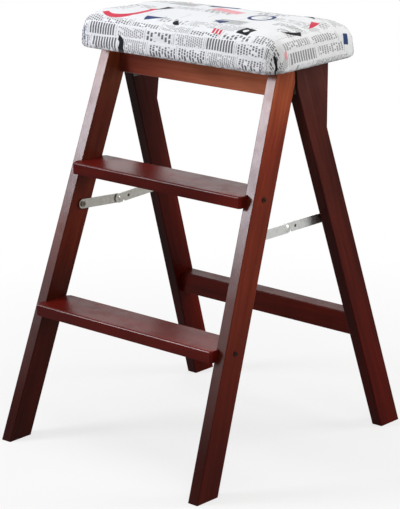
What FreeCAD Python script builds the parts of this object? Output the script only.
import FreeCAD, Part
import math
import os

vec = FreeCAD.Vector
along_x = vec(1, 0, 0)
along_y = vec(0, 1, 0)
along_z = vec(0, 0, 1)

# overall, in mm: X to the right, Y to the back, Z up, origin on the floor under the middle
overall_width = 423.0        # outside to outside of the feet
overall_depth = 471.0        # front of the front feet to back of the rear feet
frame_top = 602.0            # top ends of the rear legs, where the seat board lies
side_splay = 2.8             # degrees, both side assemblies lean in going up
board = 19.5                 # thickness of stiles and legs
edge_round = 1.6             # eased long edges of the wood
trim_allowance = 12.0        # boards are made this much longer and then cut level

# front frame
stile_top_y = -11.6182       # front edge of the stile at frame_top, makes it lean 20.4 degrees
stile_width = 42.0
tread_rise = 213.75          # floor to first tread and from tread to tread
tread_thickness = 18.0
tread_overhang_front = 17.6  # in front of the stile's front edge, at the tread's top
tread_overhang_rear = 6.2    # behind the stile's rear edge, at the tread's top
tread_ear = 5.0              # how far the front part laps over each stile
tread_corner = 3.0           # cut corner at the front ends
tread_nose = 3.5             # rounding of the front top edge
top_rail_thickness = 18.0
top_rail_height = 44.0
top_rail_drop = 1.5          # below the stile ends
stile_drop = 0.5             # stile ends stay this far under the seat board

# rear frame
leg_top_y = 62.8793          # the leg's rear edge carried on to frame_top, leans 16 degrees
leg_width = 42.0
head_depth_top = 73.6        # front to back at the very top of the leg head
head_length = 102.0          # from the top to where the head tapers into the leg
stretcher_thickness = 27.0
stretcher_height = 35.0
stretcher_top = 191.0

# hinge between stile and leg
hinge_y = 26.4               # plane between stile and leg
hinge_drop = 39.0            # pin below frame_top
hinge_gap = 4.0              # between the two upright wood faces
leaf_thickness = 1.6
leaf_length = 15.0           # along the pin
leaf_top_drop = 6.0
knuckle_radius = 2.4
pin_radius = 1.2
middle_knuckle = 6.6         # length of the rear leaf's knuckle
knuckle_gap = 0.2
running = 0.05               # radial clearance of pins and shanks
hinge_screw_drops = (23.5, 9.8)

# folding stays, one on each side
link_width = 15.0
link_thickness = 2.0
link_gap = 0.4               # between the two plates of one stay
stay_washer = 0.9            # between stile and front link
pivot_screw_radius = 2.5
rivet_head_radius = 5.6
rivet_tail_radius = 3.6
rivet_radius = 2.5
lock_hole_radius = 2.4
lock_hole_distance = 21.0    # from the middle rivet along the rear link
notch_radius = 2.6
notch_distance = 10.5
# front: screw behind the stile's front edge and its height, rear: in front of the leg's
# rear edge and height, middle: y and height of the rivet
stay_places = {
    "left": {"side": -1, "front": (24.361, 358.0), "middle": (-0.27, 351.8),
             "rear": (25.8186, 356.0)},
    "right": {"side": 1, "front": (38.4354, 357.8), "middle": (14.0, 357.0),
              "rear": (11.4186, 356.0)},
}

# seat
cushion_overhang = 23.9427   # beyond the legs' outer faces at frame_top
cushion_front = -51.0
cushion_rear = 148.0
cushion_corner = 34.0        # rounding seen from above
cover_thickness = 1.2
soft_gap = 0.3
seat_board_thickness = 10.0
seat_board_inset = 7.0       # from the cushion's outline
cover_margin = 14.0          # turned under the seat board
foam_inset = 1.8
# height above the cover's underside and draw-in of the outline at that height
cushion_profile = (
    (0.0, 7.0), (2.2, 2.6), (6.5, 0.4), (14.0, 0.0), (30.0, 0.0), (42.0, 4.0),
    (50.0, 13.0), (55.5, 28.0), (59.5, 52.0), (61.6, 78.0), (62.2, 94.0),
)
bracket_width = 18.0
bracket_front = 36.0
bracket_thickness = 2.0
bracket_drop = 57.0
bracket_reach = 36.0

# fasteners
tread_screw = {"shank": 2.1, "length": 44.0, "head": 3.6, "rise": 3.0, "sunk": 1.4}
small_screw = {"shank": 1.5, "length": 13.0, "head": 2.9, "rise": 1.3}
dowel_radius = 4.0
dowel_length = 28.0
dowel_spacing = 15.0

splay = math.radians(side_splay)
splay_run = math.tan(splay)
stile_run = (stile_top_y + overall_depth / 2) / frame_top
leg_run = (overall_depth / 2 - leg_top_y) / frame_top
stile_flat = stile_width * math.hypot(1, stile_run)
leg_flat = leg_width * math.hypot(1, leg_run)
hinge_z = frame_top - hinge_drop
leaf_top = frame_top - leaf_top_drop
head_knee_height = frame_top - head_length
stile_face = hinge_y - hinge_gap / 2
leg_face = hinge_y + hinge_gap / 2


def outer_x(z):
    """Half the width over the outer faces at height z."""
    return overall_width / 2 - z * splay_run


def inner_x(z):
    return outer_x(z) - board / math.cos(splay)


def stile_front(z):
    return -overall_depth / 2 + z * stile_run


def leg_rear(z):
    return overall_depth / 2 - z * leg_run


def stay_points(place):
    """The three pivots of a stay as (y, z), and the side that it is on."""
    front_in, front_z = place["front"]
    rear_in, rear_z = place["rear"]
    return {"side": place["side"], "front": (stile_front(front_z) + front_in, front_z),
            "middle": place["middle"], "rear": (leg_rear(rear_z) - rear_in, rear_z)}


stays = {name: stay_points(place) for name, place in stay_places.items()}


def box(x0, x1, y0, y1, z0, z1):
    return Part.makeBox(x1 - x0, y1 - y0, z1 - z0, vec(x0, y0, z0))


def mirrored(shape):
    return shape.mirror(vec(0, 0, 0), along_x)


def on_side(shape, side):
    return shape if side > 0 else mirrored(shape)


def side_plate(outline, thickness=board, depth=0.0):
    """Right-hand plate with a (y, z) outline, parallel to the splayed outer face."""
    points = [vec(-depth, y, z / math.cos(splay)) for y, z in outline]
    face = Part.Face(Part.makePolygon(points + [points[0]]))
    plate = face.extrude(vec(-thickness, 0, 0))
    plate.rotate(vec(0, 0, 0), along_y, -side_splay)
    plate.translate(vec(overall_width / 2, 0, 0))
    return plate


def long_edges(shape, shortest):
    """Edges longer than shortest that don't run across the board."""
    found = []
    for edge in shape.Edges:
        a, b = edge.Vertexes[0].Point, edge.Vertexes[-1].Point
        if edge.Length > shortest and abs((b - a).x) < 0.5 * edge.Length:
            found.append(edge)
    return found


def level_cut(shape, z0, z1):
    return shape.common(box(-400, 400, -400, 400, z0, z1))


def stile_outline():
    low, high = -trim_allowance, frame_top + trim_allowance
    knee = (stile_face + overall_depth / 2 - stile_flat) / stile_run
    return [(stile_front(low), low), (stile_front(high), high), (stile_face, high),
            (stile_face, knee), (stile_front(low) + stile_flat, low)]


def leg_outline():
    low, high = -trim_allowance, frame_top + trim_allowance
    knee = (overall_depth / 2 - leg_flat - leg_face) / leg_run
    head_rear = leg_face + head_depth_top
    head_slope = (head_rear - leg_rear(head_knee_height)) / (frame_top - head_knee_height)
    return [(leg_rear(low) - leg_flat, low), (leg_face, knee), (leg_face, high),
            (head_rear + trim_allowance * head_slope, high),
            (leg_rear(head_knee_height), head_knee_height), (leg_rear(low), low)]


def side_board(outline, top):
    plate = side_plate(outline)
    return level_cut(plate.makeFillet(edge_round, long_edges(plate, 30.0)), 0, top)


def screw(at, direction, shank, length, head, rise, sunk=0.0, grow=0.0, cross=True):
    """Pan-head screw, its head resting at the point and its shank along direction."""
    start = at + direction * sunk
    body = Part.makeCylinder(shank + grow, length + grow, start, direction)
    top = Part.makeCylinder(head + grow, rise + grow, start, direction * -1)
    if grow or not cross:
        return body.fuse(top).removeSplitter()
    recess = Part.makeBox(head * 1.3, 0.9, rise * 0.6)
    recess.translate(vec(-head * 0.65, -0.45, -rise - 0.01))
    slots = recess.fuse(recess.rotated(vec(0, 0, 0), along_z, 90))
    slots.Placement = FreeCAD.Placement(start, FreeCAD.Rotation(along_z, direction))
    return body.fuse(top).removeSplitter().cut(slots)


def screw_hole(at, direction, **sizes):
    return screw(at, direction, grow=running, **sizes)


def tread_screws():
    """Screws through both stiles into the ends of both treads."""
    places = []
    for number in (1, 2):
        z = number * tread_rise - tread_thickness / 2
        y = stile_front(z) + stile_flat / 2
        for side in (-1, 1):
            at = vec(side * outer_x(z), y, z)
            places.append((side, at, vec(-side, 0, 0)))
    return places


def tread_outline(z):
    ear = inner_x(z) + tread_ear
    front = stile_front(z) - tread_overhang_front
    rear_edge = stile_front(z) + stile_flat
    rear = rear_edge + tread_overhang_rear
    half = [(ear - tread_corner, front), (ear, front + tread_corner),
            (ear, rear_edge - stile_flat / 2), (inner_x(z), rear_edge),
            (inner_x(z) - tread_overhang_rear, rear)]
    return half + [(-x, y) for x, y in reversed(half)]


def tread(number, stiles):
    top = number * tread_rise
    points = [vec(x, y, top - tread_thickness) for x, y in tread_outline(top)]
    slab = Part.Face(Part.makePolygon(points + [points[0]])).extrude(
        vec(0, 0, tread_thickness))
    front = min(point.y for point in points)
    nose = [edge for edge in slab.Edges
            if all(abs(v.Z - top) < 0.01 for v in edge.Vertexes)
            and all(v.Y < front + tread_corner + 0.1 for v in edge.Vertexes)]
    slab = slab.makeFillet(tread_nose, nose)
    rear = max(point.y for point in points)
    slab = slab.makeFillet(edge_round, [
        edge for edge in slab.Edges
        if all(abs(v.Y - rear) < 0.01 for v in edge.Vertexes) and edge.Length > 100])
    for stile in stiles:
        slab = slab.cut(stile)
    return slab


def cross_rail(y0, y1, z0, z1, sides):
    """Level rail between the inner faces of two side boards."""
    rail = box(-overall_width / 2, overall_width / 2, y0, y1, z0, z1)
    edges = [edge for edge in rail.Edges if edge.Length > overall_width - 1]
    rail = rail.makeFillet(edge_round, edges)
    for side in sides:
        rail = rail.cut(side)
    return rail.common(box(-inner_x(z0), inner_x(z0), y0, y1, z0, z1))


def end_dowels(y, z_middle, grow=0.0):
    dowels = []
    for z in (z_middle - dowel_spacing / 2, z_middle + dowel_spacing / 2):
        half = dowel_length / 2 + grow
        for side in (-1, 1):
            middle = side * inner_x(z)
            dowels.append(Part.makeCylinder(dowel_radius + grow, 2 * half,
                                            vec(middle - half, y, z), along_x))
    return dowels


def hinge_middle_x():
    z = (hinge_z + leaf_top) / 2
    return (outer_x(z) + inner_x(z)) / 2


def hinge_leaf(front):
    """Right-hand hinge leaf: a plate on its wood face and knuckles round the pin."""
    x0 = hinge_middle_x() - leaf_length / 2
    x1 = x0 + leaf_length
    a = hinge_middle_x() - middle_knuckle / 2
    b = a + middle_knuckle
    if front:
        plate = box(x0, x1, stile_face, stile_face + leaf_thickness, hinge_z, leaf_top)
        kept, cleared = [(x0, a - knuckle_gap), (b + knuckle_gap, x1)], [(a, b)]
    else:
        plate = box(x0, x1, leg_face - leaf_thickness, leg_face, hinge_z, leaf_top)
        kept, cleared = [(a, b)], [(x0, a), (b, x1)]
    for u, v in cleared:
        plate = plate.cut(box(u - knuckle_gap, v + knuckle_gap, leg_face - 10, leg_face + 10,
                              hinge_z - 5, hinge_z + knuckle_radius + 2 * knuckle_gap))
    for u, v in kept:
        plate = plate.fuse(Part.makeCylinder(knuckle_radius, v - u,
                                             vec(u, hinge_y, hinge_z), along_x))
    plate = plate.cut(Part.makeCylinder(pin_radius + running, 2 * leaf_length,
                                        vec(x0 - 5, hinge_y, hinge_z), along_x))
    return plate.removeSplitter()


def hinge_pin():
    x0 = hinge_middle_x() - leaf_length / 2
    return Part.makeCylinder(pin_radius, leaf_length, vec(x0, hinge_y, hinge_z), along_x)


def flat_screw(at, direction, grow=0.0):
    """Countersunk screw whose head ends flush with the point."""
    cone = Part.makeCone(small_screw["head"] + grow, small_screw["shank"] + grow,
                         small_screw["rise"] + grow, at, direction)
    shank = Part.makeCylinder(small_screw["shank"] + grow, small_screw["length"] + grow,
                              at, direction)
    return cone.fuse(shank).removeSplitter()


def hinge_screws(front, grow=0.0):
    y = stile_face + leaf_thickness if front else leg_face - leaf_thickness
    direction = vec(0, -1, 0) if front else along_y
    return [flat_screw(vec(hinge_middle_x(), y, frame_top - drop), direction, grow)
            for drop in hinge_screw_drops]


def link_planes():
    """Outer faces of the front and the rear link plate, right-hand side."""
    front = inner_x(stays["left"]["front"][1] + link_width / 2) - stay_washer
    return front, front - link_thickness - link_gap


def link_blank(start, end, outer):
    """Flat bar with round ends between two (y, z) points, seen from the side."""
    length = math.dist(start, end)
    r = link_width / 2
    top, low = vec(0, 0, r), vec(0, 0, -r)
    far = vec(0, length, 0)
    wire = Part.Wire([
        Part.makeLine(low, far + low),
        Part.Arc(far + low, vec(0, length + r, 0), far + top).toShape(),
        Part.makeLine(far + top, top),
        Part.Arc(top, vec(0, -r, 0), low).toShape()])
    bar = Part.Face(wire).extrude(vec(-link_thickness, 0, 0))
    angle = math.degrees(math.atan2(end[1] - start[1], end[0] - start[0]))
    return bar, vec(outer, start[0], start[1]), angle, length


def placed(shape, place, angle):
    shape = shape.rotated(vec(0, 0, 0), along_x, angle)
    shape.translate(place)
    return shape


def bore(radius, y, z=0.0):
    return Part.makeCylinder(radius, 40, vec(-20, y, z), along_x)


def front_link(stay):
    bar, place, angle, length = link_blank(stay["front"], stay["middle"], link_planes()[0])
    bar = bar.cut(bore(pivot_screw_radius + running, 0))
    bar = bar.cut(bore(rivet_radius + running, length))
    return placed(bar, place, angle)


def rear_link(stay):
    bar, place, angle, length = link_blank(stay["middle"], stay["rear"], link_planes()[1])
    bar = bar.cut(bore(pivot_screw_radius + running, length))
    bar = bar.cut(bore(rivet_radius + running, 0))
    bar = bar.cut(bore(lock_hole_radius, lock_hole_distance))
    bar = bar.cut(bore(notch_radius, notch_distance, -link_width / 2))
    return placed(bar, place, angle)


def domed(radius, rise, at, direction):
    """Low round head, its flat side at the point."""
    ball = (radius * radius + rise * rise) / (2 * rise)
    dome = Part.makeSphere(ball, at + direction * (rise - ball))
    return dome.common(Part.makeCylinder(radius, rise, at, direction))


def rivet_head(stay):
    """Outer half of the middle rivet, held in the front link."""
    outer = link_planes()[0]
    at = vec(outer, *stay["middle"])
    shank = Part.makeCylinder(rivet_radius, link_thickness, at, along_x * -1)
    return domed(rivet_head_radius, 1.8, at, along_x).fuse(shank).removeSplitter()


def rivet_tail(stay):
    """Inner half of the middle rivet, held in the rear link."""
    outer = link_planes()[1]
    at = vec(outer - link_thickness, *stay["middle"])
    shank = Part.makeCylinder(rivet_radius, link_thickness, at, along_x)
    return domed(rivet_tail_radius, 1.2, at, along_x * -1).fuse(shank).removeSplitter()


def pivot_screw(point, outer, anchor, grow=0.0):
    """Pan-head screw through a link plate and on into the wood."""
    at = vec(outer - link_thickness, point[0], point[1])
    length = anchor - at.x + 14.0
    return screw(at, along_x, shank=pivot_screw_radius, length=length, head=4.4,
                 rise=2.2, grow=grow)


def ring(point, x0, x1, radius=5.5):
    washer = Part.makeCylinder(radius, x1 - x0, vec(x0, *point), along_x)
    return washer.cut(Part.makeCylinder(pivot_screw_radius + running, x1 - x0,
                                        vec(x0, *point), along_x))


def rounded_outline(half_x, y0, y1, corner, z):
    corner = min(corner, half_x - 0.5, (y1 - y0) / 2 - 0.5)
    edges = []
    centres = [(half_x - corner, y0 + corner, -90), (half_x - corner, y1 - corner, 0),
               (corner - half_x, y1 - corner, 90), (corner - half_x, y0 + corner, 180)]
    ends = []
    for x, y, start in centres:
        points = []
        for turn in (0, 45, 90):
            angle = math.radians(start + turn)
            points.append(vec(x + corner * math.cos(angle), y + corner * math.sin(angle), z))
        edges.append(Part.Arc(*points).toShape())
        ends.append((points[0], points[2]))
        if len(ends) > 1:
            edges.insert(-1, Part.makeLine(ends[-2][1], ends[-1][0]))
    edges.append(Part.makeLine(ends[-1][1], ends[0][0]))
    return Part.Wire(edges)


def cushion_outline(inset, z):
    """The cushion's outline seen from above, drawn in by inset."""
    corner = max(cushion_corner - 0.36 * inset, 2.0)
    half_length = outer_x(frame_top) + cushion_overhang - inset
    return rounded_outline(half_length, cushion_front + inset, cushion_rear - inset, corner, z)


def cushion_form(inset):
    """Crowned, round-edged cushion drawn in all round and lowered on top by inset."""
    underside = frame_top - cover_thickness
    full = cushion_profile[-1][0]
    wires = [cushion_outline(inset + draw_in, underside + rise * (1 - inset / full))
             for rise, draw_in in cushion_profile]
    return Part.makeLoft(wires, True, True)


def seat_board():
    outline = cushion_outline(seat_board_inset, frame_top)
    return Part.Face(outline).extrude(vec(0, 0, seat_board_thickness))


def seat_cover():
    """Fabric over foam and board, turned under the board's rim."""
    shell = cushion_form(0.0).cut(cushion_form(cover_thickness))
    rim = Part.Face(cushion_outline(cushion_profile[0][1], frame_top - cover_thickness))
    rim = rim.extrude(vec(0, 0, cover_thickness - soft_gap))
    window = Part.Face(cushion_outline(seat_board_inset + cover_margin, frame_top - 10))
    window = window.extrude(vec(0, 0, 20))
    return shell.fuse(rim).cut(window)


def seat_foam():
    form = cushion_form(foam_inset)
    floor = frame_top + seat_board_thickness + soft_gap
    return level_cut(form, floor, frame_top + 100)


def bracket():
    """Right-hand angle bracket between leg head and seat board."""
    y0, y1 = bracket_front, bracket_front + bracket_width
    flange = side_plate([(y0, frame_top - bracket_drop), (y1, frame_top - bracket_drop),
                         (y1, frame_top), (y0, frame_top)], bracket_thickness, board)
    x1 = inner_x(frame_top)
    shelf = box(x1 - bracket_reach, x1, y0, y1, frame_top - bracket_thickness, frame_top)
    return level_cut(flange.fuse(shelf), 0, frame_top).removeSplitter()


def bracket_screws(grow=0.0):
    y = bracket_front + bracket_width / 2
    sizes = dict(small_screw, grow=grow, cross=False)
    upright, level = [], []
    for drop in (20.0, 42.0):
        z = frame_top - drop
        upright.append(screw(vec(inner_x(z) - bracket_thickness, y, z), along_x,
                             **dict(sizes, length=14.0)))
    for reach in (14.0, 28.0):
        at = vec(inner_x(frame_top) - reach, y, frame_top - bracket_thickness)
        level.append(screw(at, along_z, **dict(sizes, length=9.0)))
    return upright, level


def cut_all(shape, cutters):
    for cutter in cutters:
        shape = shape.cut(cutter)
    return shape


def both_sides(shapes):
    return shapes + [mirrored(shape) for shape in shapes]


def save(node, shapes):
    shape = shapes[0] if len(shapes) == 1 else Part.makeCompound(shapes)
    shape.exportStep("parts/" + node + ".step")


def front_frame():
    plain = side_plate(stile_outline())
    plain_pair = [mirrored(plain), plain]
    upper, lower = tread(2, plain_pair), tread(1, plain_pair)
    rail_top = frame_top - top_rail_drop
    rail = cross_rail(stile_face - top_rail_thickness, stile_face,
                      rail_top - top_rail_height, rail_top, plain_pair)
    rail_y = stile_face - top_rail_thickness / 2
    rail_z = rail_top - top_rail_height / 2
    rail_dowel_holes = end_dowels(rail_y, rail_z, running)
    rail = cut_all(rail, rail_dowel_holes)

    stile = side_board(stile_outline(), frame_top - stile_drop)
    stile = cut_all(stile, hinge_screws(True, running) + rail_dowel_holes)
    screws = {-1: [], 1: []}
    stile_holes = {-1: [], 1: []}
    for side, at, direction in tread_screws():
        screws[side].append(screw(at, direction, **tread_screw))
        hole = screw_hole(at, direction, **tread_screw)
        well = Part.makeCylinder(tread_screw["head"] + running, 6.0,
                                 at + direction * tread_screw["sunk"], direction * -1)
        stile_holes[side] += [hole, well]
    upper = cut_all(upper, stile_holes[-1] + stile_holes[1])
    lower = cut_all(lower, stile_holes[-1] + stile_holes[1])

    for name, stay in stays.items():
        side = stay["side"]
        anchor = inner_x(stay["front"][1])
        hole = pivot_screw(stay["front"], link_planes()[0], anchor, running)
        body = cut_all(on_side(stile, side), stile_holes[side] + [on_side(hole, side)])
        save("front_stile_" + name, [body])
        save("tread_screws_" + name, screws[side])
        save("stay_front_screw_" + name,
             [on_side(pivot_screw(stay["front"], link_planes()[0], anchor), side)])
        washer = ring(stay["front"], link_planes()[0],
                      inner_x(stay["front"][1] + 5.5) - running)
        save("stay_front_washer_" + name, [on_side(washer, side)])
        leaf = hinge_leaf(True).cut(Part.makeCompound(hinge_screws(True, running)))
        save("hinge_front_leaf_" + name, [on_side(leaf, side)])
        save("hinge_pin_" + name, [on_side(hinge_pin(), side)])
    save("hinge_front_screws", both_sides(hinge_screws(True)))
    save("upper_tread", [upper])
    save("lower_tread", [lower])
    save("top_rail", [rail])
    save("top_rail_dowels", end_dowels(rail_y, rail_z))


def rear_frame():
    plain = side_plate(leg_outline())
    plain_pair = [mirrored(plain), plain]
    rear = leg_rear(stretcher_top)
    stretcher_y = rear - stretcher_thickness / 2
    stretcher_z = stretcher_top - stretcher_height / 2
    stretcher = cross_rail(rear - stretcher_thickness, rear,
                           stretcher_top - stretcher_height, stretcher_top, plain_pair)
    dowel_holes = end_dowels(stretcher_y, stretcher_z, running)
    save("rear_stretcher", [cut_all(stretcher, dowel_holes)])
    save("stretcher_dowels", end_dowels(stretcher_y, stretcher_z))

    upright_holes, level_holes = bracket_screws(running)
    upright, level = bracket_screws()
    leg = side_board(leg_outline(), frame_top)
    leg = cut_all(leg, hinge_screws(False, running) + dowel_holes + upright_holes)
    angle_piece = cut_all(bracket(), upright_holes + level_holes)
    for name, stay in stays.items():
        side = stay["side"]
        anchor = inner_x(stay["rear"][1])
        hole = pivot_screw(stay["rear"], link_planes()[1], anchor, running)
        save("rear_leg_" + name, [on_side(leg.cut(hole), side)])
        save("stay_rear_screw_" + name,
             [on_side(pivot_screw(stay["rear"], link_planes()[1], anchor), side)])
        spacer = ring(stay["rear"], link_planes()[1], inner_x(stay["rear"][1] + 5.5) - running)
        save("stay_rear_spacer_" + name, [on_side(spacer, side)])
        leaf = hinge_leaf(False).cut(Part.makeCompound(hinge_screws(False, running)))
        save("hinge_rear_leaf_" + name, [on_side(leaf, side)])
        save("seat_bracket_" + name, [on_side(angle_piece, side)])
    save("hinge_rear_screws", both_sides(hinge_screws(False)))
    save("bracket_screws", both_sides(upright + level))
    save("seat_board", [cut_all(seat_board(), both_sides(level_holes))])
    save("seat_foam", [seat_foam()])
    save("seat_cover", [seat_cover()])


def folding_stays():
    for name, stay in stays.items():
        side = stay["side"]
        save("stay_front_link_" + name, [on_side(front_link(stay), side)])
        save("stay_rear_link_" + name, [on_side(rear_link(stay), side)])
        save("stay_rivet_head_" + name, [on_side(rivet_head(stay), side)])
        save("stay_rivet_tail_" + name, [on_side(rivet_tail(stay), side)])


os.makedirs("parts", exist_ok=True)
front_frame()
rear_frame()
folding_stays()
